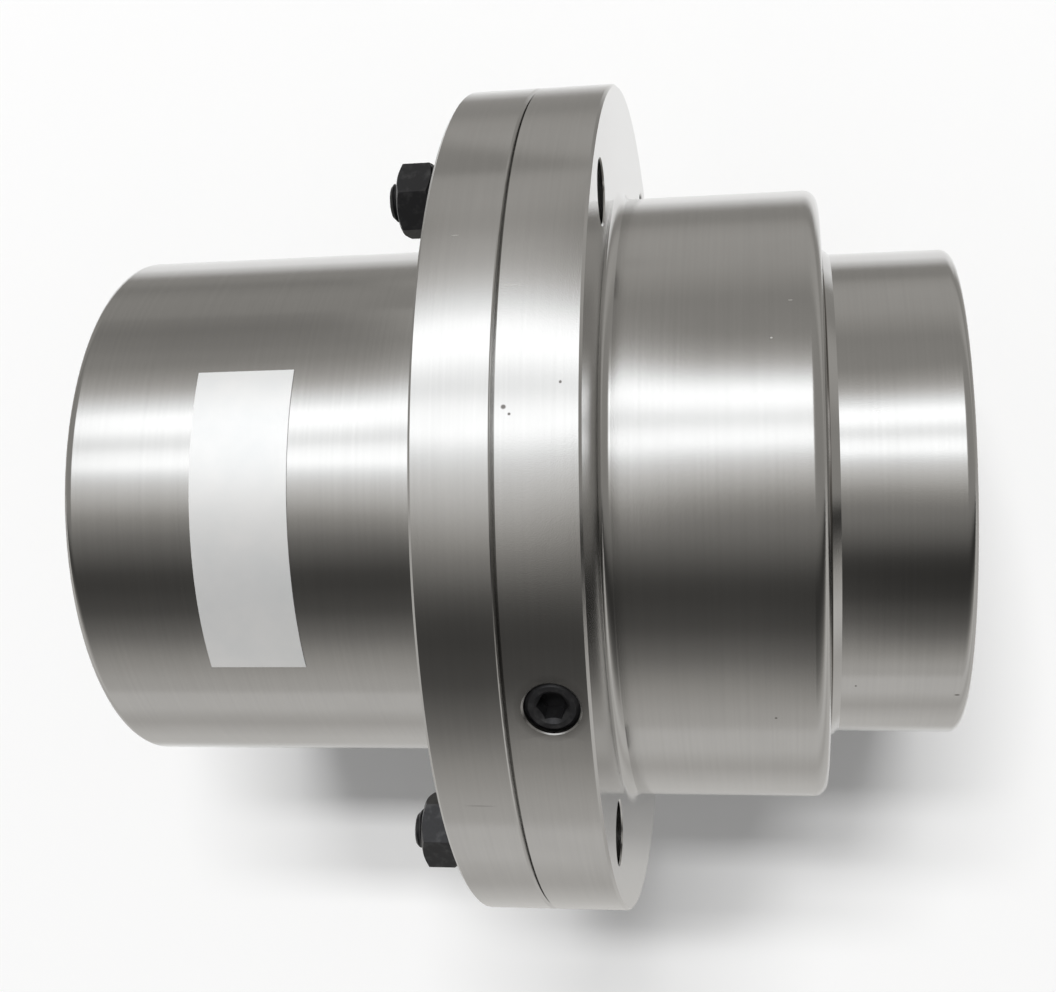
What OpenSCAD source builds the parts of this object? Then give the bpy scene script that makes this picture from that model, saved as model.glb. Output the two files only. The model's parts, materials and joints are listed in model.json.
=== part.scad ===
// Gear coupling with one toothed joint: a flanged rigid hub is bolted to a flanged sleeve, and a gear hub
// with crowned teeth sits in the sleeve's straight inner teeth, so that it can tilt and float a little.
// The coupling stands on the end of its rigid hub, with its turning axis along +Z. Millimetres.

/* [Flanges] */
// Outer diameter of both flanges
flange_d = 180; // [174:1:200]
// Thickness of each flange
flange_t = 15; // [14:0.5:20]
// Chamfer on the flange edges
flange_chamfer = 0.5; // [0.3:0.1:1]
// Fillet where a flange meets its barrel
corner_r = 2.2; // [1.5:0.1:5]
// Width of the slit that shows between the flange rims
seam_slit = 0.45; // [0.2:0.05:0.6]

/* [Rigid hub] */
// Barrel diameter of the rigid hub
rigid_d = 113; // [106:1:120]
// Length of the rigid hub from its end to the seam between the flanges
rigid_len = 94.5; // [80:0.5:110]
// Rounding of the free ends of both hubs
end_round = 2.2; // [0.5:0.1:3]

/* [Sleeve] */
// Barrel diameter of the sleeve
sleeve_d = 131.5; // [128:0.5:136]
// Distance from the seam to the sleeve's end
sleeve_len = 56.5; // [56:0.5:66]
// Rounding of the sleeve's outer end edge
sleeve_round = 3; // [1:0.5:4]
// Wall between the roots of the inner teeth and the outside
sleeve_wall = 6; // [5:0.5:8]

/* [Gear hub] */
// Barrel diameter of the gear hub
hub_d = 104; // [98:1:106]
// Distance from the seam to the gear hub's free end
hub_reach = 84; // [80:0.5:96]
// Length of the gear hub
hub_len = 85; // [82:0.5:97]
// Step from the barrel up to the land that carries the seal
land_step = 1.5; // [1:0.1:2]

/* [Shaft bores] */
// Bore diameter of both hubs
bore_d = 60; // [40:1:66]
// Width of the keyways
key_w = 18; // [12:1:20]
// Depth of the keyways above the bore
key_h = 4.4; // [3:0.1:5]
// Chamfer at the mouths of the bores
bore_chamfer = 1.5; // [0.5:0.1:2]

/* [Teeth] */
// Module of the teeth
tooth_module = 2.5; // [2:0.25:3]
// Face width of the gear hub's teeth
tooth_w = 20; // [14:1:22]
// Distance from the seam to the middle of the teeth
tooth_mid = 18; // [17:0.5:20]
// Gap between the flanks, measured across them
flank_gap = 0.3; // [0.2:0.05:0.5]
// Gap between the gear hub's tooth tips and the sleeve's roots
tip_gap = 0.4; // [0.3:0.05:0.8]

/* [Motion] */
// Largest tilt of the gear hub, in degrees
tilt_limit = 1.5; // [0.5:0.1:1.5]
// Largest float of the gear hub along the axis, each way
float_limit = 2; // [1:0.5:2.5]
// Room left between moving pieces at the end of their travel
run_gap = 0.35; // [0.3:0.05:0.6]

/* [Bolts] */
// Thread diameter of the flange bolts
bolt_d = 8; // [6:1:8]
// Length of thread that comes out of the nuts
bolt_shows = 2; // [1:0.1:4]
// Distance from the flange rim to the bolt axis
bolt_edge = 11.5; // [11:0.5:13]
// Angle between the two bolts on the side of the keyways
key_side_angle = 78; // [50:1:110]
// Angle between the two bolts on the other side
far_side_angle = 70; // [50:1:110]
// Diameter of the round bolt heads
head_d = 12; // [11.5:0.5:13.5]
// Height of the round bolt heads
head_h = 8; // [6:0.5:8.5]
// Depth of the bolt heads below the face of the sleeve's flange
head_sink = 2.6; // [0:0.1:3]
// Width across the flats of the nuts
nut_af = 13; // [13:0.5:14]
// Height of the nuts
nut_h = 6.8; // [6:0.1:8]
// Thickness of the spring washers
washer_t = 2; // [1.6:0.1:2.4]

/* [Grease plugs] */
// Thread diameter of the grease plugs
plug_d = 10; // [8:0.5:11]
// Length of the grease plugs
plug_len = 9; // [7:0.5:10]
// Distance from the seam to the plugs' axis
plug_mid = 8; // [7.5:0.1:8.5]
// Angle of the first plug round the axis
plug_angle = 287; // [275:1:295]

/* [Seals] */
// Height of the flange seal in its groove
flange_seal_h = 2.5; // [2:0.1:3]
// Height of the hub seal in its groove
hub_seal_h = 4.8; // [4:0.1:5.5]
// Gap left all round a seal in its groove
seal_gap = 0.06; // [0.04:0.01:0.1]

/* [Label] */
// Width of the label along the axis
label_w = 20; // [10:1:24]
// Length of the label round the barrel
label_len = 63; // [40:1:80]
// Distance from the seam to the middle of the label
label_mid = 57.5; // [45:0.5:60]
// Angle of the label's middle round the axis
label_angle = 267; // [240:1:300]

/* [Hidden] */
$fn = 128;
cut = 0.5;
seam_z = rigid_len;
flange_r = flange_d / 2;
rigid_r = rigid_d / 2;
sleeve_r = sleeve_d / 2;
hub_r = hub_d / 2;
bore_r = bore_d / 2;
arc_steps = 12;
slit_deep = 4;
sharp_edge = 0.15;

// Involute teeth: as many as the sleeve's wall leaves room for
pressure_angle = 20;
tooth_count = floor(2 * (sleeve_r - sleeve_wall - tip_gap - tooth_module) / tooth_module);
pitch_r = tooth_count * tooth_module / 2;
base_r = pitch_r * cos(pressure_angle);
addendum = tooth_module;
dedendum = 1.24 * tooth_module;
inner_addendum = 0.8 * tooth_module;
hub_tip_r = pitch_r + addendum;
hub_root_r = pitch_r - dedendum;
sleeve_tip_r = pitch_r - inner_addendum;
sleeve_root_r = hub_tip_r + tip_gap;
flank_steps = 3;
flank_gap_angle = flank_gap / base_r * 180 / PI;

// Places along the axis, measured from the seam
hub_inner = hub_reach - hub_len;
tooth_start = tooth_mid - tooth_w / 2;
tooth_end = tooth_mid + tooth_w / 2;
tilt_drop = sin(tilt_limit);
spigot_h = 3;
spigot_room = 0.5;
recess_floor = hub_inner - float_limit - hub_r * tilt_drop - run_gap;
teeth_far = tooth_end + float_limit + hub_tip_r * tilt_drop + run_gap;
run_out_w = 5;
run_out_deep = 0.5;
neck_len = 3;
neck_taper = 2;

// Radii that fit each other
spigot_fit = 0.03;
spigot_wall = 6;
neck_step = 1.2;
neck_chamfer = 1.2;
recess_room = 4;
neck_r = hub_root_r - neck_step;
recess_r = max(hub_r, neck_r) + recess_room;
spigot_r = recess_r + spigot_wall;
land_r = hub_r + land_step;
tilt_room = (sleeve_len - tooth_mid) * tilt_drop + run_gap;
end_bore_r = land_r + tilt_room;

// Seal grooves
squeeze = 1.15;
hub_groove_floor = end_bore_r - hub_seal_h - 2 * seal_gap;
hub_seal_w = squeeze * hub_seal_h;
hub_groove_w = hub_seal_w + 2 * seal_gap;
land_wall = 2.5;
land_cone = 1.8;
land_shows = 0.6;
land_end = sleeve_len + land_shows;
hub_seal_mid = land_end - land_wall - hub_groove_w / 2 - float_limit;
land_start = hub_seal_mid - hub_groove_w / 2 - land_wall;
flange_seal_wall = 3;
flange_seal_w = squeeze * flange_seal_h;
flange_groove_w = flange_seal_w + 2 * seal_gap;
flange_groove_d = flange_seal_h + 2 * seal_gap;
flange_groove_mid = spigot_r + flange_seal_wall + flange_groove_w / 2;

// Bolts
bolt_r = bolt_d / 2;
bolt_circle_r = flange_r - bolt_edge;
bolt_room = 0.2;
head_room = 0.25;
bolt_hole_r = bolt_r + bolt_room;
thread_gap = 0.05;
counterbore_r = head_d / 2 + head_room;
counterbore_depth = head_h + head_sink;
counterbore_edge = 0.3;
head_seat = flange_t - counterbore_depth;
bolt_len = head_seat + flange_t + washer_t + nut_h + bolt_shows;
head_chamfer = 0.8;
socket_af = 0.75 * bolt_d;
socket_depth = head_h / 2;
socket_lip = 0.4;
tip_chamfer = 0.8;
washer_lip = 0.3;
washer_r = nut_af / 2 + washer_lip;
washer_slit = 1.6;
washer_slit_tilt = 30;
nut_bevel = 30;
nut_face = 0.95;
bolt_angles = [key_side_angle / 2, 180 - far_side_angle / 2, 180 + far_side_angle / 2, -key_side_angle / 2];
// How far each nut is turned from having a corner outwards
nut_turns = [40, 12, 45, 9];

// Grease plugs
plug_r = plug_d / 2;
plug_sink = 0.6;
plug_gap = 0.05;
plug_bevel = 0.8;
plug_sinking = 0.4;
plug_socket_af = plug_d / 2;
plug_socket_depth = plug_len / 2;
grease_duct_r = 2.5;
plug_angles = [plug_angle, plug_angle + 180];

// Label
label_t = 0.15;
label_glue = 0.02;
label_arc = label_len / rigid_r * 180 / PI;

bolt_count = len(bolt_angles);
plug_count = len(plug_angles);

// Points of an arc from one angle to another
function arc(x, y, r, from, to) =
    [for (i = [0 : arc_steps]) let (a = from + (to - from) * i / arc_steps) [x + r * cos(a), y + r * sin(a)]];

// Involute function of an angle, in degrees
function involute(a) = tan(a) * 180 / PI - a;

// Half of the angle that a tooth with no play takes up at a radius
function half_tooth(r) = 90 / tooth_count + involute(pressure_angle) - involute(acos(base_r / r));

// Evenly spaced radii from one to another, for the points of a flank
function flank_radii(from, to) = [for (i = [0 : flank_steps]) from + (to - from) * i / flank_steps];

function polar(r, a) = [r * cos(a), r * sin(a)];

// Outline of a hollow with inner teeth: each space is as wide as a tooth with no play
function inner_teeth() = [
    for (k = [0 : tooth_count - 1])
        let (mid = 360 / tooth_count * k)
            each concat(
                [for (r = flank_radii(sleeve_tip_r, sleeve_root_r)) polar(r, mid - half_tooth(r))],
                [for (r = flank_radii(sleeve_root_r, sleeve_tip_r)) polar(r, mid + half_tooth(r))]
            )
];

// Outline of the gap between two of the gear hub's teeth, with the play cut from both flanks
function tooth_gap() =
    let (
        half = function (r) 180 / tooth_count - half_tooth(r) + flank_gap_angle,
        radii = flank_radii(hub_root_r, hub_tip_r + tip_gap)
    )
    concat(
        [for (r = radii) polar(r, half(r))],
        [for (i = [len(radii) - 1 : -1 : 0]) polar(radii[i], -half(radii[i]))]
    );

// Places a shape at a bolt axis, with its zero on the seam
module at_bolt(angle) {
    rotate([0, 0, angle]) translate([bolt_circle_r, 0, seam_z]) children();
}

// Turns a shape that points along +Z so that it points out of the rim at a grease plug
module at_plug(angle) {
    rotate([0, 0, angle]) translate([0, 0, seam_z + plug_mid]) rotate([0, 90, 0]) children();
}

// Shaft bore with chamfered mouths and a keyway on the +X side, from one height to another
module keyed_bore(low, high) {
    translate([0, 0, low - cut]) cylinder(r = bore_r, h = high - low + 2 * cut);
    translate([0, -key_w / 2, low - cut]) cube([bore_r + key_h, key_w, high - low + 2 * cut]);
    translate([0, 0, low]) cylinder(r1 = bore_r + bore_chamfer, r2 = bore_r, h = bore_chamfer);
    translate([0, 0, high - bore_chamfer])
        cylinder(r1 = bore_r, r2 = bore_r + bore_chamfer, h = bore_chamfer);
}

// Hexagonal socket that opens at its zero and goes down, with a cone at its mouth
module hex_socket(af, depth) {
    corner = af / sqrt(3);
    mouth_h = corner + socket_lip - af / 2;
    translate([0, 0, -depth]) cylinder(r = corner, h = depth + cut, $fn = 6);
    translate([0, 0, -mouth_h]) cylinder(r1 = af / 2, r2 = af / 2 + mouth_h + cut, h = mouth_h + cut);
}

// Squeezed seal ring: an oval section turned round the axis
module seal_ring(mid_r, w, h) {
    rotate_extrude()
        polygon([
            for (i = [0 : 2 * arc_steps - 1])
                let (a = 180 / arc_steps * i)
                    [mid_r + h / 2 * cos(a), w / 2 * sin(a)]
        ]);
}

// Rigid hub: barrel, flange, centring spigot and the recess that the gear hub's inner end moves in;
// the outermost ring of the flange face is turned back a little, which leaves the slit at the seam
module rigid_hub() {
    back = rigid_len - flange_t;
    slit = rigid_len - seam_slit;
    color([0.62, 0.61, 0.59])
    difference() {
        rotate_extrude()
            polygon(concat(
                [[0, 0]],
                arc(rigid_r - end_round, end_round, end_round, 270, 360),
                arc(rigid_r + corner_r, back - corner_r, corner_r, 180, 90),
                [
                    [flange_r - flange_chamfer, back],
                    [flange_r, back + flange_chamfer],
                    [flange_r, slit - flange_chamfer],
                    [flange_r - flange_chamfer, slit],
                    [flange_r - slit_deep, slit],
                    [flange_r - slit_deep, rigid_len],
                    [spigot_r, rigid_len],
                    [spigot_r, rigid_len + spigot_h],
                    [0, rigid_len + spigot_h]
                ]
            ));
        keyed_bore(0, seam_z + recess_floor);
        translate([0, 0, seam_z + recess_floor]) cylinder(r = recess_r, h = spigot_h - recess_floor + cut);
        for (angle = bolt_angles)
            at_bolt(angle)
                translate([0, 0, -flange_t - cut]) cylinder(r = bolt_hole_r, h = flange_t + 2 * cut);
    }
}

// Sleeve: flange and barrel round the inner teeth, with an end wall that closes on the gear hub's land
module sleeve() {
    color([0.64, 0.63, 0.61])
    difference() {
        translate([0, 0, seam_z])
            rotate_extrude()
                polygon(concat(
                    [
                        [0, 0],
                        [flange_r - sharp_edge, 0],
                        [flange_r, sharp_edge],
                        [flange_r, flange_t - flange_chamfer],
                        [flange_r - flange_chamfer, flange_t]
                    ],
                    arc(sleeve_r + corner_r, flange_t + corner_r, corner_r, 270, 180),
                    arc(sleeve_r - sleeve_round, sleeve_len - sleeve_round, sleeve_round, 0, 90),
                    [[0, sleeve_len]]
                ));
        sleeve_hollow();
        sleeve_bolt_holes();
        sleeve_plug_holes();
        translate([0, 0, seam_z])
            rotate_extrude()
                translate([flange_groove_mid - flange_groove_w / 2, -cut])
                    square([flange_groove_w, flange_groove_d + cut]);
    }
}

// Hollow of the sleeve: spigot seat, inner teeth, tool run-out and the end bore
module sleeve_hollow() {
    translate([0, 0, seam_z]) {
        translate([0, 0, -cut]) cylinder(r = spigot_r + spigot_fit, h = spigot_h + spigot_room + cut);
        linear_extrude(teeth_far + cut) polygon(inner_teeth());
        translate([0, 0, teeth_far]) cylinder(r = sleeve_root_r + run_out_deep, h = run_out_w);
        cylinder(r = end_bore_r, h = sleeve_len + cut);
        translate([0, 0, sleeve_len - flange_chamfer])
            cylinder(r1 = end_bore_r, r2 = end_bore_r + flange_chamfer + cut, h = flange_chamfer + cut);
    }
}

// Through holes and counterbores for the bolts; the counterbores also clear the fillet
module sleeve_bolt_holes() {
    for (angle = bolt_angles)
        at_bolt(angle) {
            translate([0, 0, -cut]) cylinder(r = bolt_hole_r, h = flange_t + cut);
            translate([0, 0, head_seat]) cylinder(r = counterbore_r, h = counterbore_depth + corner_r);
            translate([0, 0, flange_t - counterbore_edge])
                cylinder(
                    r1 = counterbore_r,
                    r2 = counterbore_r + counterbore_edge + cut,
                    h = counterbore_edge + cut
                );
        }
}

// Countersunk plug seats in the rim, each with a duct to the teeth
module sleeve_plug_holes() {
    for (angle = plug_angles)
        at_plug(angle) {
            cylinder(r = grease_duct_r, h = flange_r);
            translate([0, 0, flange_r - plug_sink - plug_len])
                cylinder(r = plug_r + plug_gap, h = plug_len + plug_sink + cut);
            translate([0, 0, flange_r - plug_sinking])
                cylinder(r1 = plug_r, r2 = plug_r + plug_sinking + cut, h = plug_sinking + cut);
        }
}

// Gear hub: barrel, seal land with its groove, and crowned teeth on a spherical band
module gear_hub() {
    color([0.6, 0.59, 0.57])
    difference() {
        translate([0, 0, seam_z])
            rotate_extrude() {
                polygon(hub_outline());
                tooth_band();
            }
        keyed_bore(seam_z + hub_inner, seam_z + hub_reach);
        translate([0, 0, seam_z + tooth_mid])
            for (k = [0 : tooth_count - 1])
                rotate([0, 0, 360 / tooth_count * (k + 0.5)]) crowning_cut();
    }
}

// Turned outline of the gear hub without its teeth
function hub_outline() = [
    [0, hub_inner],
    [neck_r - neck_chamfer, hub_inner],
    [neck_r, hub_inner + neck_chamfer],
    [neck_r, tooth_end + neck_len],
    [hub_r, tooth_end + neck_len + neck_taper],
    [hub_r, land_start - land_cone],
    [land_r, land_start],
    [land_r, hub_seal_mid - hub_groove_w / 2],
    [hub_groove_floor, hub_seal_mid - hub_groove_w / 2],
    [hub_groove_floor, hub_seal_mid + hub_groove_w / 2],
    [land_r, hub_seal_mid + hub_groove_w / 2],
    [land_r, land_end],
    [hub_r, land_end + land_cone],
    each arc(hub_r - end_round, hub_reach - end_round, end_round, 0, 90),
    [0, hub_reach]
];

// Section of the band that the teeth are cut from: its rim is an arc about the tilting centre
module tooth_band() {
    intersection() {
        translate([0, tooth_mid]) circle(r = hub_tip_r, $fn = 4 * $fn);
        translate([bore_r, tooth_start]) square([hub_tip_r, tooth_w]);
    }
}

// One gap between teeth, swung about the tilting centre, so that the teeth thin out towards their ends
module crowning_cut() {
    swing = asin((tooth_w / 2 + neck_len / 2) / hub_root_r);
    rotate([90, 0, 0]) rotate_extrude(angle = 2 * swing, start = -swing) polygon(tooth_gap());
}

// Ring seal in the gear hub's groove, which wipes the sleeve's end bore
module hub_seal() {
    color([0.07, 0.07, 0.07])
        translate([0, 0, seam_z + hub_seal_mid])
            seal_ring(end_bore_r - seal_gap - hub_seal_h / 2, hub_seal_w, hub_seal_h);
}

// Ring seal between the flange faces
module flange_seal() {
    color([0.07, 0.07, 0.07])
        translate([0, 0, seam_z + flange_groove_d / 2])
            seal_ring(flange_groove_mid, flange_seal_h, flange_seal_w);
}

// White label stuck on the rigid hub's barrel
module label() {
    color([0.93, 0.93, 0.92])
        translate([0, 0, seam_z - label_mid - label_w / 2])
            rotate([0, 0, label_angle - label_arc / 2])
                rotate_extrude(angle = label_arc)
                    translate([rigid_r + label_glue, 0]) square([label_t, label_w]);
}

// Headless screw plug with a hexagonal socket
module grease_plug(angle) {
    color([0.08, 0.08, 0.085])
        at_plug(angle)
            translate([0, 0, flange_r - plug_sink])
                difference() {
                    rotate_extrude()
                        polygon([
                            [0, -plug_len],
                            [plug_r - plug_bevel, -plug_len],
                            [plug_r, plug_bevel - plug_len],
                            [plug_r, -plug_bevel],
                            [plug_r - plug_bevel, 0],
                            [0, 0]
                        ]);
                    hex_socket(plug_socket_af, plug_socket_depth);
                }
}

// Socket-head bolt: its head sits in the counterbore and its thread passes both flanges
module bolt(angle) {
    color([0.09, 0.09, 0.095])
        at_bolt(angle)
            translate([0, 0, head_seat])
                difference() {
                    rotate_extrude()
                        polygon([
                            [0, -bolt_len],
                            [bolt_r - tip_chamfer, -bolt_len],
                            [bolt_r, tip_chamfer - bolt_len],
                            [bolt_r, 0],
                            [head_d / 2, 0],
                            [head_d / 2, head_h - head_chamfer],
                            [head_d / 2 - head_chamfer, head_h],
                            [0, head_h]
                        ]);
                    translate([0, 0, head_h]) hex_socket(socket_af, socket_depth);
                }
}

// Hexagonal nut with both faces turned to a chamfer
module nut(angle, turn) {
    corner = nut_af / sqrt(3);
    face = nut_face * nut_af / 2;
    drop = (corner - face) * tan(nut_bevel);
    color([0.1, 0.1, 0.105])
        at_bolt(angle)
            translate([0, 0, -flange_t - washer_t - nut_h]) rotate([0, 0, turn])
                difference() {
                    intersection() {
                        cylinder(r = corner, h = nut_h, $fn = 6);
                        rotate_extrude()
                            polygon([
                                [0, 0],
                                [face, 0],
                                [corner, drop],
                                [corner, nut_h - drop],
                                [face, nut_h],
                                [0, nut_h]
                            ]);
                    }
                    translate([0, 0, -cut]) cylinder(r = bolt_r + thread_gap, h = nut_h + 2 * cut);
                }
}

// Spring washer: a flat split ring under the nut
module spring_washer(angle) {
    color([0.1, 0.1, 0.1])
        at_bolt(angle)
            translate([0, 0, -flange_t - washer_t])
                difference() {
                    cylinder(r = washer_r, h = washer_t);
                    translate([0, 0, -cut]) cylinder(r = bolt_hole_r, h = washer_t + 2 * cut);
                    translate([0, 0, washer_t / 2])
                        rotate([washer_slit_tilt, 0, 0])
                            translate([0, -washer_slit / 2, -washer_t - cut])
                                cube([washer_r + cut, washer_slit, 2 * (washer_t + cut)]);
                }
}

rigid_hub();
sleeve();
gear_hub();
hub_seal();
flange_seal();
label();
for (i = [1 : plug_count])
    grease_plug(plug_angles[i - 1]);
for (i = [1 : bolt_count]) {
    bolt(bolt_angles[i - 1]);
    nut(bolt_angles[i - 1], nut_turns[i - 1]);
    spring_washer(bolt_angles[i - 1]);
}
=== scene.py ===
"""Looks of a flanged gear coupling: turned steel hubs and sleeve, black bolts and nuts, a bare white sticker.

Everything is in metres in the part's own frame: the turning axis is Z, and the coupling stands on the rigid
hub's end. The picture looks down on the coupling lying on a white sheet, so the sheet stands upright in this
frame.
"""
import json
from math import cos, degrees, radians, sin

import bpy
import numpy as np
from mathutils import Matrix, Vector


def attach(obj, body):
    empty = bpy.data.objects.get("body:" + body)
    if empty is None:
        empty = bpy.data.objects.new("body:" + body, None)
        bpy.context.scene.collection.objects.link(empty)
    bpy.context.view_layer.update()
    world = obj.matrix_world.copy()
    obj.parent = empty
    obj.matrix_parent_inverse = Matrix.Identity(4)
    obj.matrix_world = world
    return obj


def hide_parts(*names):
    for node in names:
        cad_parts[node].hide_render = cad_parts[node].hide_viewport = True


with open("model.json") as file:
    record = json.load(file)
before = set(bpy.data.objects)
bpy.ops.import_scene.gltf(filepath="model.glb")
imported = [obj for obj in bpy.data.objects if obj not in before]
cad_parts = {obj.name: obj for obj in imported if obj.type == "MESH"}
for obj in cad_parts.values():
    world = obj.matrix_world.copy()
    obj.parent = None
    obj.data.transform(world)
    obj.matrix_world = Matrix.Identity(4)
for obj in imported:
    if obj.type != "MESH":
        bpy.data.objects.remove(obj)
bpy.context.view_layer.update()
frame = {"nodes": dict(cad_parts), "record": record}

MM = 0.001

# Sizes shared with the part's source
SEAM = 94.5 * MM
FLANGE_R = 90 * MM
SLEEVE_END = SEAM + 56.5 * MM
LAND_SHOWS = 0.6 * MM
BOLT_CIRCLE_R = 78.5 * MM
BOLT_ANGLES = (39, 145, 215, -39)
BOLT_R = 4 * MM
BOLT_LEN = 30.2 * MM
HEAD_R = 6 * MM
HEAD_H = 8 * MM
HEAD_SEAT = 4.4 * MM
HEAD_CHAMFER = 0.8 * MM
SOCKET_AF = 6 * MM
SOCKET_DEPTH = 4 * MM
THREAD_PITCH = 1.25 * MM
THREAD_DEPTH = 0.6 * MM
THREAD_LEN = 12 * MM

# Detail of the bolts that the scene adds: the tip's chamfer, the grooves' shape, and how fine the rings are
THREAD_TIP = 0.9 * MM
GROOVE_SLOPE = 1.25
CREST_SHARE = 0.12
BOLT_COLUMNS = 60
THREAD_ROWS = 100
PLAIN_ROWS = 3
RUN_OUT_ROWS = 12
# Edges that turn more than this stay sharp, in degrees
SHARP_ABOVE = 32

# Directions of the picture in the part's frame: along the axis, up the picture, and towards the viewer
UP_ANGLE = 173
AXIS = Vector((0, 0, 1))
UP = Vector((cos(radians(UP_ANGLE)), sin(radians(UP_ANGLE)), 0))
NEAR = Vector((cos(radians(UP_ANGLE + 90)), sin(radians(UP_ANGLE + 90)), 0))


def picture_vector(along, up, near):
    """Vector with these parts along the turning axis, up the picture and towards the viewer."""
    return AXIS * along + UP * up + NEAR * near


# Camera, fitted to the outlines in the photograph

CAMERA_FROM_SEAM = (47.12 * MM, -0.48 * MM, 340.5 * MM)
LOOK = (-0.16246, 0.00310, -0.98671)
TOP = (0.01909, 0.99982, 0)
LENS = 51.6
SENSOR = 36


def make_camera():
    """Camera at the photograph's place: looks along LOOK, with TOP upwards in the picture."""
    camera = bpy.data.cameras.new("camera")
    camera.lens = LENS
    camera.sensor_width = SENSOR
    camera.clip_start = 0.01
    obj = bpy.data.objects.new("camera", camera)
    bpy.context.scene.collection.objects.link(obj)
    look = picture_vector(*LOOK).normalized()
    right = look.cross(picture_vector(*TOP)).normalized()
    top = right.cross(look)
    place = AXIS * SEAM + picture_vector(*CAMERA_FROM_SEAM)
    turn = Matrix((right, top, -look)).transposed()
    obj.matrix_world = Matrix.Translation(place) @ turn.to_4x4()
    bpy.context.scene.camera = obj


# Node helpers

def add(tree, kind, inputs=None, **settings):
    """New node with its settings; each named input gets a value, or a link where the value is a socket."""
    made = tree.nodes.new(kind)
    for name, value in settings.items():
        setattr(made, name, value)
    for name, value in (inputs or {}).items():
        if isinstance(value, bpy.types.NodeSocket):
            tree.links.new(value, made.inputs[name])
        else:
            made.inputs[name].default_value = value
    return made


def maths(tree, operation, first, second=0.0, clamp=False):
    """Result of one sum on two values or sockets."""
    return add(tree, "ShaderNodeMath", {0: first, 1: second}, operation=operation, use_clamp=clamp).outputs[0]


def times(tree, first, second):
    """Product of two values or sockets."""
    return maths(tree, "MULTIPLY", first, second)


def dot(tree, first, second):
    """Dot product of two vectors or sockets."""
    return add(tree, "ShaderNodeVectorMath", {0: first, 1: second}, operation="DOT_PRODUCT").outputs["Value"]


def spread(tree, value, low, high, to_low=0.0, to_high=1.0):
    """Value carried from one range to another and held at its ends."""
    node = add(tree, "ShaderNodeMapRange",
               {"Value": value, "From Min": low, "From Max": high, "To Min": to_low, "To Max": to_high})
    return node.outputs["Result"]


def curve(tree, value, stops):
    """Value read off the straight lines between stops, each a place and a height."""
    low, high = stops[0][0], stops[-1][0]
    top = max(height for _, height in stops)
    ramp = add(tree, "ShaderNodeValToRGB", {0: spread(tree, value, low, high)})
    steps = ramp.color_ramp.elements
    steps.remove(steps[-1])
    for number, (place, height) in enumerate(stops):
        step = steps[0] if number == 0 else steps.new((place - low) / (high - low))
        step.position = (place - low) / (high - low)
        step.color = (height / top, height / top, height / top, 1)
    return maths(tree, "MULTIPLY", ramp.outputs[0], top)


def noise(tree, vector, scale, detail=3.0, roughness=0.5):
    """Cloudy value from 0 to 1 with features one over the scale in size."""
    node = add(tree, "ShaderNodeTexNoise",
               {"Vector": vector, "Scale": scale, "Detail": detail, "Roughness": roughness})
    return node.outputs["Fac"]


def mixed(tree, factor, first, second):
    """Colour between two colours."""
    node = add(tree, "ShaderNodeMix", {"Factor": factor}, data_type="RGBA")
    for socket, value in ((node.inputs[6], first), (node.inputs[7], second)):
        if isinstance(value, bpy.types.NodeSocket):
            tree.links.new(value, socket)
        else:
            socket.default_value = (*value, 1)
    return node.outputs[2]


def new_material(name):
    """Empty node material with a principled shader; returns the material, its tree and the shader."""
    material = bpy.data.materials.new(name)
    material.use_nodes = True
    tree = material.node_tree
    return material, tree, tree.nodes["Principled BSDF"]


def bump(tree, shader, height, strength, depth):
    """Gives the shader small relief from a height value."""
    node = add(tree, "ShaderNodeBump", {"Height": height, "Strength": strength, "Distance": depth})
    tree.links.new(node.outputs[0], shader.inputs["Normal"])


# Materials

STEEL_TINT = (0.545, 0.54, 0.53)
# Dark colour of rust specks and real marks, and also of painted shade round the sleeve's plug and in the gear
# hub's gap
GRIME_AND_SHADE = (0.07, 0.06, 0.05)
SCRATCH = (0.9, 0.9, 0.88)
OXIDE = (0.035, 0.035, 0.037)
WORN_OXIDE = (0.1, 0.1, 0.102)
RUBBER = (0.016, 0.016, 0.017)
PALE_RUBBER = (0.04, 0.04, 0.04)
FILM = (0.8, 0.81, 0.81)
PALE_FILM = (0.85, 0.85, 0.845)
SHEET_WHITE = (0.965, 0.965, 0.963, 1)


def shade(colour, by):
    """Colour times a number."""
    return tuple(by * v for v in colour)


def turned_coordinates(tree):
    """Object coordinates, their three parts, the distance from the axis, and the path along a turned profile,
    which is height plus distance."""
    place = add(tree, "ShaderNodeTexCoord").outputs["Object"]
    split = add(tree, "ShaderNodeSeparateXYZ", {0: place})
    flat = add(tree, "ShaderNodeVectorMath", {0: place, 1: (1, 1, 0)}, operation="MULTIPLY").outputs[0]
    distance = add(tree, "ShaderNodeVectorMath", {0: flat}, operation="LENGTH").outputs["Value"]
    path = maths(tree, "ADD", split.outputs[2], distance)
    return place, split, distance, path


def ring_noise(tree, split, path, along, across, detail):
    """Noise drawn out into rings: slow round the axis and fast along the turned profile."""
    stretched = add(tree, "ShaderNodeCombineXYZ", {
        "X": times(tree, split.outputs[0], along),
        "Y": times(tree, split.outputs[1], along),
        "Z": times(tree, path, across)})
    return noise(tree, stretched.outputs[0], 1.0, detail)


def specks(tree, place):
    """Mask of small round rust specks, scattered thinly."""
    cells = add(tree, "ShaderNodeTexVoronoi", {"Vector": place, "Scale": 60, "Randomness": 1.0})
    pick = add(tree, "ShaderNodeSeparateColor", {0: cells.outputs["Color"]}).outputs[0]
    chosen = maths(tree, "GREATER_THAN", pick, 0.95)
    spot = spread(tree, cells.outputs["Distance"], 0.012, 0.03, 1.0, 0.0)
    return times(tree, chosen, spot)
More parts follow.
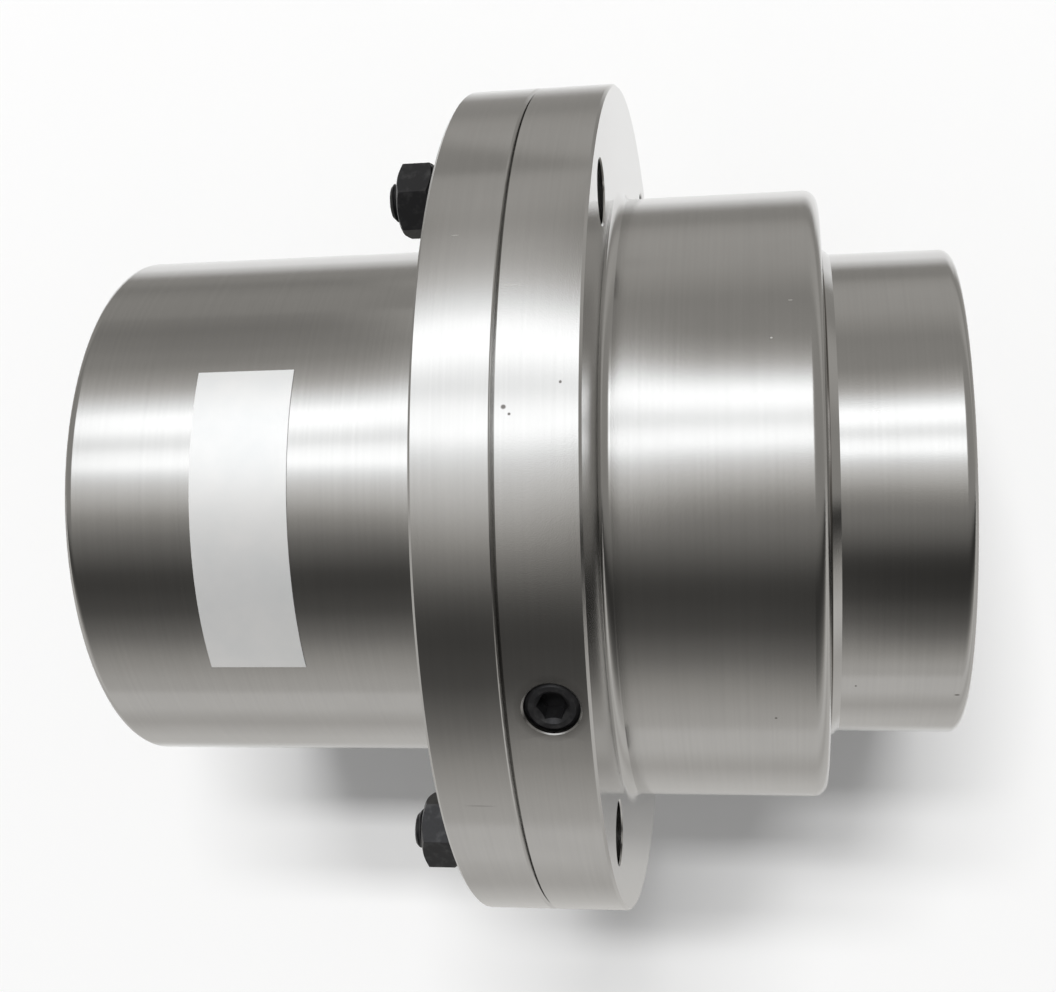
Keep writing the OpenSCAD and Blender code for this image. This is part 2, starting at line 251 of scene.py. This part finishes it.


# Marks on the steel: place along the axis from the seam, turn from the viewer, half sizes along and round.
# The sleeve's last one is painted shade round its lubrication plug, darkening the countersink and its
# reflection.
BARREL_SPECKS = ((-7.2, -38.3, 3.0, 0.07),)
BARREL_SCRATCHES = ((-8.6, 31.5, 0.9, 0.12),)
SLEEVE_SPECKS_AND_PLUG_SHADE = ((1.7, 9.9, 0.5, 0.45), (2.7, 9.1, 0.3, 0.28), (11.4, 12.5, 0.3, 0.32),
                 (46.1, -40.3, 0.3, 0.25), (8, -24, 6.2, 6.2))
SLEEVE_SCRATCHES = ((2.2, 24.3, 1.8, 0.1), (50.2, 33.1, 0.5, 0.12), (46.6, 25.8, 0.25, 0.2))
HUB_SPECKS = ((81.3, -50.8, 0.6, 0.3), (61.7, -47.4, 0.25, 0.25))
HUB_SCRATCHES = ((66, 17, 0.8, 0.1),)


def viewer_turn(tree, place):
    """Angle of a place round the turning axis, from the viewer up the picture, in degrees."""
    angle = maths(tree, "ARCTAN2", dot(tree, place, UP), dot(tree, place, NEAR))
    return times(tree, angle, degrees(1))


def from_seam(tree, place):
    """Place along the turning axis, from the seam."""
    return maths(tree, "SUBTRACT", dot(tree, place, AXIS), SEAM)


def placed_marks(tree, place, split, distance, marks):
    """Mask of small oval marks, each with its place along the axis from the seam and its half sizes in
    millimetres, and its turn from the viewer in degrees."""
    turned = viewer_turn(tree, place)
    mask = 0.0
    for along, turn, half_along, half_round in marks:
        z = maths(tree, "SUBTRACT", split.outputs[2], SEAM + along * MM)
        arc = times(tree, maths(tree, "SUBTRACT", turned, turn), radians(1))
        arc = times(tree, arc, distance)
        off = add(tree, "ShaderNodeCombineXYZ", {
            "X": maths(tree, "DIVIDE", z, half_along * MM),
            "Y": maths(tree, "DIVIDE", arc, half_round * MM)})
        reach = add(tree, "ShaderNodeVectorMath", {0: off.outputs[0]}, operation="LENGTH").outputs["Value"]
        mask = maths(tree, "MAXIMUM", spread(tree, reach, 0.6, 1.1, 1.0, 0.0), mask)
    return mask


def turned_steel(name, roughness, grain, dark_marks, light_marks, gap_shade=False):
    """Bare steel with faint turning marks: rings in colour, gloss and relief, stains, rust specks and placed
    marks, and on the gear hub painted shade: a dark line in the gap where it comes out of the sleeve."""
    material, tree, shader = new_material(name)
    place, split, distance, path = turned_coordinates(tree)
    marks = ring_noise(tree, split, path, 25, 1500, 4.0)
    fine = ring_noise(tree, split, path, 120, 6000, 2.0)
    stains = noise(tree, place, 38, 4.0, 0.6)
    sparkle = noise(tree, place, 5200, 2.0)
    speck = specks(tree, place)
    colour = mixed(tree, spread(tree, marks, 0.3, 0.7), shade(STEEL_TINT, 0.98), shade(STEEL_TINT, 1.02))
    colour = mixed(tree, spread(tree, stains, 0.5, 0.75, 0, 0.3), colour, shade(STEEL_TINT, 0.86))
    colour = mixed(tree, times(tree, speck, 0.8), colour, GRIME_AND_SHADE)
    dark = placed_marks(tree, place, split, distance, dark_marks)
    light = placed_marks(tree, place, split, distance, light_marks)
    # Dark placed marks: real specks, and on the sleeve painted shade round its plug
    colour = mixed(tree, times(tree, dark, 0.7), colour, GRIME_AND_SHADE)
    colour = mixed(tree, times(tree, light, 0.8), colour, SCRATCH)
    # Painted shade: a dark line on the hub where it comes out of the sleeve, in place of the shaded gap
    if gap_shade:
        off = maths(tree, "ABSOLUTE", maths(tree, "SUBTRACT", split.outputs[2], SLEEVE_END))
        line = spread(tree, off, LAND_SHOWS, 1.3 * LAND_SHOWS, 0.85, 0.0)
        colour = mixed(tree, line, colour, GRIME_AND_SHADE)
    tree.links.new(colour, shader.inputs["Base Color"])
    gloss = maths(tree, "ADD", roughness, spread(tree, marks, 0.25, 0.75, -0.01, 0.01))
    gloss = maths(tree, "ADD", gloss, spread(tree, sparkle, 0.2, 0.8, -0.03 * grain, 0.03 * grain))
    spoilt = maths(tree, "MAXIMUM", maths(tree, "MAXIMUM", speck, dark), light)
    gloss = maths(tree, "ADD", gloss, times(tree, spoilt, 0.3), clamp=True)
    tree.links.new(gloss, shader.inputs["Roughness"])
    shader.inputs["Metallic"].default_value = 1.0
    shader.inputs["Anisotropic"].default_value = 0.4
    shader.inputs["Anisotropic Rotation"].default_value = 0.25
    tangent = add(tree, "ShaderNodeTangent", direction_type="RADIAL", axis="Z")
    tree.links.new(tangent.outputs[0], shader.inputs["Tangent"])
    relief = maths(tree, "ADD", times(tree, marks, 0.12), times(tree, fine, 0.12))
    relief = maths(tree, "ADD", relief, times(tree, sparkle, grain))
    relief = maths(tree, "SUBTRACT", relief, speck)
    bump(tree, shader, relief, 0.28, 0.03 * MM)
    return material


def black_steel():
    """Black oxide on steel: nearly black, with lighter cloudy wear and fine grain."""
    material, tree, shader = new_material("black_steel")
    place = add(tree, "ShaderNodeTexCoord").outputs["Object"]
    wear = noise(tree, place, 500, 4.0, 0.6)
    grain = noise(tree, place, 4000, 2.0)
    colour = mixed(tree, spread(tree, wear, 0.5, 0.8, 0, 0.7), OXIDE, WORN_OXIDE)
    tree.links.new(colour, shader.inputs["Base Color"])
    tree.links.new(spread(tree, grain, 0.3, 0.7, 0.32, 0.5), shader.inputs["Roughness"])
    shader.inputs["Metallic"].default_value = 0.7
    bump(tree, shader, maths(tree, "ADD", wear, grain), 0.15, 0.03 * MM)
    return material


def seal_rubber():
    """Matt black rubber with a fine moulded grain."""
    material, tree, shader = new_material("seal_rubber")
    place = add(tree, "ShaderNodeTexCoord").outputs["Object"]
    grain = noise(tree, place, 1500, 3.0)
    tree.links.new(mixed(tree, grain, RUBBER, PALE_RUBBER), shader.inputs["Base Color"])
    tree.links.new(spread(tree, grain, 0.3, 0.7, 0.55, 0.75), shader.inputs["Roughness"])
    bump(tree, shader, grain, 0.2, 0.05 * MM)
    return material


def label_film():
    """White sticker film with a silvery sheen: faint clouding, fine grain and a soft gloss."""
    material, tree, shader = new_material("label_film")
    place = add(tree, "ShaderNodeTexCoord").outputs["Object"]
    clouds = noise(tree, place, 120, 4.0)
    grain = noise(tree, place, 3000, 2.0)
    colour = mixed(tree, spread(tree, clouds, 0.3, 0.7), FILM, PALE_FILM)
    tree.links.new(colour, shader.inputs["Base Color"])
    tree.links.new(spread(tree, grain, 0.3, 0.7, 0.3, 0.42), shader.inputs["Roughness"])
    shader.inputs["Metallic"].default_value = 0.42
    bump(tree, shader, maths(tree, "ADD", clouds, times(tree, grain, 0.2)), 0.1, 0.05 * MM)
    return material


# Shading of faces

def smooth_group(limit_deg):
    """Modifier group: all faces smooth, and edges that turn more than the limit kept sharp."""
    group = bpy.data.node_groups.new("smooth_faces", "GeometryNodeTree")
    group.interface.new_socket("Geometry", in_out="INPUT", socket_type="NodeSocketGeometry")
    group.interface.new_socket("Geometry", in_out="OUTPUT", socket_type="NodeSocketGeometry")
    start = add(group, "NodeGroupInput")
    end = add(group, "NodeGroupOutput")
    angle = add(group, "GeometryNodeInputMeshEdgeAngle").outputs["Unsigned Angle"]
    sharp = maths(group, "GREATER_THAN", angle, radians(limit_deg))
    faces = add(group, "GeometryNodeSetShadeSmooth",
                {0: start.outputs[0], "Shade Smooth": True}, domain="FACE")
    edges = add(group, "GeometryNodeSetShadeSmooth",
                {0: faces.outputs[0], "Selection": sharp, "Shade Smooth": False}, domain="EDGE")
    group.links.new(edges.outputs[0], end.inputs[0])
    return group


def smooth(obj, group):
    """Joins the loose triangles, smooths by angle, and lets large faces set the shading of small fillets."""
    weld = obj.modifiers.new("weld", "WELD")
    weld.merge_threshold = 0.002 * MM
    by_angle = obj.modifiers.new("smooth_faces", "NODES")
    by_angle.node_group = group
    weighted = obj.modifiers.new("weighted", "WEIGHTED_NORMAL")
    weighted.mode = "FACE_AREA_WITH_ANGLE"
    weighted.keep_sharp = True


# Bolts with cut threads

def mesh_object(name, points, faces):
    """Object at the origin from vertex and face arrays."""
    mesh = bpy.data.meshes.new(name)
    mesh.from_pydata(points.tolist(), [], faces.tolist())
    mesh.validate()
    mesh.update()
    obj = bpy.data.objects.new(name, mesh)
    bpy.context.scene.collection.objects.link(obj)
    return obj


def ring_faces(rows, columns):
    """Quads between neighbouring rings of a closed surface, with each ring joined to its own start."""
    row, column = np.meshgrid(np.arange(rows - 1), np.arange(columns), indexing="ij")
    beside = (column + 1) % columns
    corners = (row * columns + column, row * columns + beside, (row + 1) * columns + beside,
               (row + 1) * columns + column)
    return np.stack([c.ravel() for c in corners], axis=1)


def bolt(number, angle):
    """Socket-head bolt as rings round its axis: radius = profile radius, times 1 / cos of the angle within a
    sixth of a turn on the socket's rings, less a triangle wave of (height / pitch - turn) on the thread's
    rings."""
    turn = np.arange(BOLT_COLUMNS) * 2 * np.pi / BOLT_COLUMNS
    thread_rows = np.linspace(-BOLT_LEN + THREAD_LEN, -BOLT_LEN, THREAD_ROWS)
    heights = np.concatenate([
        [HEAD_H - SOCKET_DEPTH] * 2, [HEAD_H] * 2, [HEAD_H - HEAD_CHAMFER, 0, 0], thread_rows, [-BOLT_LEN]])
    apothem = SOCKET_AF / 2
    thread_r = np.minimum(BOLT_R, BOLT_R - THREAD_TIP + (thread_rows + BOLT_LEN))
    radii = np.concatenate([
        [1e-6, apothem, apothem], [HEAD_R - HEAD_CHAMFER, HEAD_R, HEAD_R, BOLT_R], thread_r, [1e-6]])
    six_sided = np.zeros(len(heights))
    six_sided[1:3] = 1
    within = (turn + np.pi / 6) % (np.pi / 3) - np.pi / 6
    hexagon = 1 + six_sided[:, None] * (1 / np.cos(within) - 1)[None, :]
    threaded = np.zeros(len(heights))
    threaded[-THREAD_ROWS - 1:-1] = np.clip((np.arange(THREAD_ROWS) - PLAIN_ROWS) / RUN_OUT_ROWS, 0, 1)
    phase = (heights[:, None] / THREAD_PITCH - turn[None, :] / (2 * np.pi)) % 1
    groove = np.clip(GROOVE_SLOPE * (1 - np.abs(2 * phase - 1)) - CREST_SHARE, 0, 1)
    radius = radii[:, None] * hexagon
    cut = (BOLT_R - THREAD_DEPTH * groove) * threaded[:, None] + radius * (1 - threaded[:, None])
    radius = np.where(threaded[:, None] > 0, np.minimum(radius, cut), radius)
    x = BOLT_CIRCLE_R + radius * np.cos(turn)
    y = radius * np.sin(turn)
    z = np.broadcast_to(SEAM + HEAD_SEAT + heights[:, None], radius.shape)
    c, s = cos(radians(angle)), sin(radians(angle))
    points = np.stack([x * c - y * s, x * s + y * c, z], axis=-1).reshape(-1, 3)
    obj = mesh_object(f"threaded_bolt_{number}", points, ring_faces(len(heights), BOLT_COLUMNS)[:, ::-1])
    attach(obj, "housing")
    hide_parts(f"bolt_{number}")
    return obj


# Stage and light

SHEET_HALF = 2.5
WORLD_FILL = 0.34
LAMP_REACH = 6.0
LAMP_LENGTH = 2.6
LAMP_WIDTH = 0.45


def seen_by(obj, diffuse=False, glossy=False):
    """Hides a lamp or a card from the camera, and chooses which light rays meet it."""
    obj.visible_camera = False
    obj.visible_diffuse = diffuse
    obj.visible_glossy = glossy
    obj.visible_transmission = False
    obj.visible_volume_scatter = False
    obj.visible_shadow = False


def sheet_material():
    """White paper that keeps the shadow in front and lets the view through from behind."""
    material, tree, shader = new_material("white_sheet")
    shader.inputs["Base Color"].default_value = SHEET_WHITE
    shader.inputs["Roughness"].default_value = 0.9
    shader.inputs["Specular IOR Level"].default_value = 0.0
    clear = add(tree, "ShaderNodeBsdfTransparent")
    behind = add(tree, "ShaderNodeNewGeometry").outputs["Backfacing"]
    both = add(tree, "ShaderNodeMixShader", {0: behind, 1: shader.outputs[0], 2: clear.outputs[0]})
    tree.links.new(both.outputs[0], tree.nodes["Material Output"].inputs["Surface"])
    return material


def flat_card(name, along, up, near, material):
    """Flat card that faces the viewer: corners at two places along the axis and two up the picture."""
    corners = ((along[0], up[0]), (along[1], up[0]), (along[1], up[1]), (along[0], up[1]))
    points = np.array([AXIS * SEAM + picture_vector(a, u, near) for a, u in corners])
    card = mesh_object(name, points, np.array([[0, 1, 2, 3]]))
    if card.data.polygons[0].normal.dot(NEAR) < 0:
        card.data.flip_normals()
    card.data.materials.append(material)
    return card


WARM_GREY = (1.03, 1.0, 0.95)
COOL_WHITE = (0.985, 1.0, 1.015)


def glow_material(name, tone_of, cover_of=None):
    """Glow whose tone is worked out from the place by a function of the tree and the coordinates, warm where
    it is dim and cool where it is bright; a second such function says how far it covers what lies behind."""
    material, tree, shader = new_material(name)
    tree.nodes.remove(shader)
    place = add(tree, "ShaderNodeTexCoord").outputs["Object"]
    tone = tone_of(tree, place)
    colour = mixed(tree, spread(tree, tone, 0.4, 1.3), WARM_GREY, COOL_WHITE)
    shown = add(tree, "ShaderNodeEmission", {0: colour, 1: tone}).outputs[0]
    if cover_of:
        clear = add(tree, "ShaderNodeBsdfTransparent").outputs[0]
        shown = add(tree, "ShaderNodeMixShader", {0: cover_of(tree, place), 1: clear, 2: shown}).outputs[0]
    tree.links.new(shown, tree.nodes["Material Output"].inputs["Surface"])
    return material


# The room that the steel mirrors, by the angle from the viewer up the picture, in degrees
ROOM_TONES = ((-95, 0.58), (-84, 0.53), (-72, 0.4), (-60, 0.21), (-48, 0.1), (-36, 0.07), (-30, 0.08),
              (-24, 0.13), (-12, 0.26), (0, 0.33), (60, 0.36), (74, 0.34), (90, 0.46), (102, 0.48),
              (120, 0.36), (130, 0.4))
# Places in the room that are dimmer or brighter: turns in degrees, and the place along the axis from the seam
LOW_RIGHT_TURN = -54
RIMS_TURN = 74
RIMS_ALONG = -0.28
# Light of the window band over the room's tone, by the place across the band, in halves of its width
BAND_TONES = ((-1.4, 0), (-1.1, 0.1), (-0.9, 0.27), (-0.7, 0.47), (-0.5, 0.7), (-0.35, 1.0), (-0.18, 1.6),
              (0.02, 1.45), (0.17, 1.05), (0.3, 1.2), (0.45, 1.6), (0.7, 1.6), (0.8, 1.2), (0.9, 0.95),
              (1, 0.69), (1.16, 0.36), (1.3, 0.2), (1.5, 0.08), (1.7, 0))
BAND_MIDDLE = 22
# Half of the band's width in degrees, by the place along the axis from the seam
BAND_HALF = ((-0.8, 25), (-0.45, 26.5), (-0.33, 33.5), (-0.22, 32.5), (-0.1, 22.3), (0.15, 20.2),
             (0.28, 22))
# Share of the band's light that is left towards its ends, by the place along the axis from the seam
BAND_ENDS = ((-1.1, 0), (-0.85, 1), (0.32, 1), (0.5, 0.12), (0.8, 0))
ROOM_R = 1.6
ROOM_HALF = 2.4
# The table round the coupling that the steel mirrors, by the place up the picture from the axis
TABLE_TONES = ((-0.45, 0.68), (-0.26, 0.54), (-0.21, 0.6), (-0.16, 0.64), (-0.1, 0.58), (0.1, 0.4),
               (0.2, 0.34), (0.245, 0.34), (0.31, 0.44), (0.42, 0.48), (1, 0.47))


def room_tone(tree, place):
    """Tone of the room card: the room's own tone at this angle, dimmer high up at the left and low down at
    the right, brighter above the band where the rims mirror it, and the band's light on top of it."""
    turned = viewer_turn(tree, place)
    along = from_seam(tree, place)
    off_band = maths(tree, "SUBTRACT", turned, BAND_MIDDLE)
    across = maths(tree, "DIVIDE", off_band, curve(tree, along, BAND_HALF))
    high_left = times(tree, spread(tree, along, -0.38, -0.5), spread(tree, turned, 70, 84, 0, 0.36))
    off_low = maths(tree, "ABSOLUTE", maths(tree, "SUBTRACT", turned, LOW_RIGHT_TURN))
    low_right = times(tree, spread(tree, along, 0.05, 0.18), spread(tree, off_low, 14, 32, 0.4, 0))
    from_rims = maths(tree, "ABSOLUTE", maths(tree, "SUBTRACT", along, RIMS_ALONG))
    off_top = maths(tree, "ABSOLUTE", maths(tree, "SUBTRACT", turned, RIMS_TURN))
    at_rims = times(tree, spread(tree, from_rims, 0.08, 0.14, 0.3, 0), spread(tree, off_top, 6, 18, 1, 0))
    dimmed = maths(tree, "ADD", high_left, low_right)
    kept = maths(tree, "SUBTRACT", maths(tree, "ADD", 1.0, at_rims), dimmed)
    room = times(tree, curve(tree, turned, ROOM_TONES), kept)
    ends = curve(tree, along, BAND_ENDS)
    return maths(tree, "ADD", room, times(tree, curve(tree, across, BAND_TONES), ends))


def make_room_card():
    """Card curved round the turning axis that only the gloss of the metal sees: part of a cylinder by angle
    and height, with its rings drawn in to the axis at both ends."""
    columns = 85
    turn = np.radians(np.linspace(ROOM_TONES[0][0], ROOM_TONES[-1][0], columns))
    radii = np.array([0.01, 1, 1, 1, 0.01]) * ROOM_R
    heights = np.array([-1, -1, 0, 1, 1]) * ROOM_HALF + SEAM
    round_axis = np.sin(turn)[:, None] * np.array(UP) + np.cos(turn)[:, None] * np.array(NEAR)
    points = radii[:, None, None] * round_axis[None, :, :] + heights[:, None, None] * np.array(AXIS)
    row, column = np.meshgrid(np.arange(len(radii) - 1), np.arange(columns - 1), indexing="ij")
    first = (row * columns + column).ravel()
    faces = np.stack([first, first + 1, first + columns + 1, first + columns], axis=1)
    card = mesh_object("room_card", points.reshape(-1, 3), faces)
    card.data.materials.append(glow_material("room_glow", room_tone))
    seen_by(card, glossy=True)


def table_tone(tree, place):
    """Tone of the table that the metal mirrors: pale below the coupling, dark above it, lighter further up
    and less so at the left."""
    up = dot(tree, place, UP)
    along = from_seam(tree, place)
    left = times(tree, spread(tree, along, -0.08, -0.12), spread(tree, up, 0.22, 0.28, 0, 0.26))
    return times(tree, curve(tree, up, TABLE_TONES), maths(tree, "SUBTRACT", 1.0, left))


def table_cover(tree, place):
    """How far the table takes the sheet's place in the metal: soft edges above, below and at both sides."""
    along = from_seam(tree, place)
    up = dot(tree, place, UP)
    over_and_under = maths(tree, "MAXIMUM", spread(tree, up, 0.13, 0.185), spread(tree, up, -0.08, -0.12))
    beside = maths(tree, "MAXIMUM", spread(tree, along, 0.12, 0.17), spread(tree, along, -0.2, -0.25))
    return maths(tree, "MAXIMUM", over_and_under, beside)


def make_table_card():
    """Flat card just over the sheet, which only the gloss of the metal sees."""
    wide = (-ROOM_HALF, ROOM_HALF)
    glow = glow_material("table_glow", table_tone, table_cover)
    card = flat_card("table_card", wide, wide, -FLANGE_R + 0.5 * MM, glow)
    seen_by(card, glossy=True)


def make_lamp(name, turn_deg, radiance):
    """Lamp that casts a shadow on the sheet, turned by an angle from the viewer up the picture."""
    lamp = bpy.data.lights.new(name, "AREA")
    lamp.shape = "RECTANGLE"
    lamp.size = LAMP_LENGTH
    lamp.size_y = LAMP_WIDTH
    lamp.energy = radiance * np.pi * LAMP_LENGTH * LAMP_WIDTH
    obj = bpy.data.objects.new(name, lamp)
    bpy.context.scene.collection.objects.link(obj)
    out = picture_vector(0, sin(radians(turn_deg)), cos(radians(turn_deg)))
    turn = Matrix((AXIS, out.cross(AXIS), out)).transposed()
    obj.matrix_world = Matrix.Translation(AXIS * SEAM + out * LAMP_REACH) @ turn.to_4x4()
    seen_by(obj, diffuse=True)


def make_world():
    """White surroundings for the view and for reflections, and a dimmer even light for matt surfaces."""
    world = bpy.data.worlds.new("surroundings")
    bpy.context.scene.world = world
    world.use_nodes = True
    tree = world.node_tree
    background = tree.nodes["Background"]
    rays = add(tree, "ShaderNodeLightPath")
    seen = maths(tree, "MAXIMUM", rays.outputs["Is Camera Ray"], rays.outputs["Is Glossy Ray"])
    seen = maths(tree, "MAXIMUM", seen, rays.outputs["Is Transmission Ray"])
    background.inputs["Color"].default_value = (1, 1, 1, 1)
    tree.links.new(spread(tree, seen, 0, 1, WORLD_FILL, 1.0), background.inputs["Strength"])


def main():
    """Builds the whole picture."""
    bpy.context.scene.view_settings.view_transform = "Standard"
    make_camera()
    make_world()
    wide = (-SHEET_HALF, SHEET_HALF)
    flat_card("white_sheet", wide, wide, -FLANGE_R, sheet_material())
    make_room_card()
    make_table_card()
    make_lamp("low_lamp", turn_deg=18.5, radiance=40)
    make_lamp("high_lamp", turn_deg=27.5, radiance=35)
    steels = {
        "rigid_hub": turned_steel("barrel_steel", 0.12, 0.5, BARREL_SPECKS, BARREL_SCRATCHES),
        "sleeve": turned_steel("sleeve_steel", 0.12, 1.0, SLEEVE_SPECKS_AND_PLUG_SHADE, SLEEVE_SCRATCHES),
        # The gear hub also gets painted shade in the gap where it leaves the sleeve
        "gear_hub": turned_steel("hub_steel", 0.09, 0.8, HUB_SPECKS, HUB_SCRATCHES, gap_shade=True)}
    finishes = {"black_steel": black_steel(), "seal_rubber": seal_rubber(), "label_film": label_film()}
    group = smooth_group(SHARP_ABOVE)
    slots = {p["node"]: p["material_slot"] for p in frame["record"]["subparts"]}
    for node, obj in frame["nodes"].items():
        obj.data.materials.clear()
        obj.data.materials.append(steels.get(node) or finishes[slots[node]])
        smooth(obj, group)
    for number, angle in enumerate(BOLT_ANGLES, 1):
        obj = bolt(number, angle)
        obj.data.materials.append(finishes["black_steel"])
        smooth(obj, group)


main()
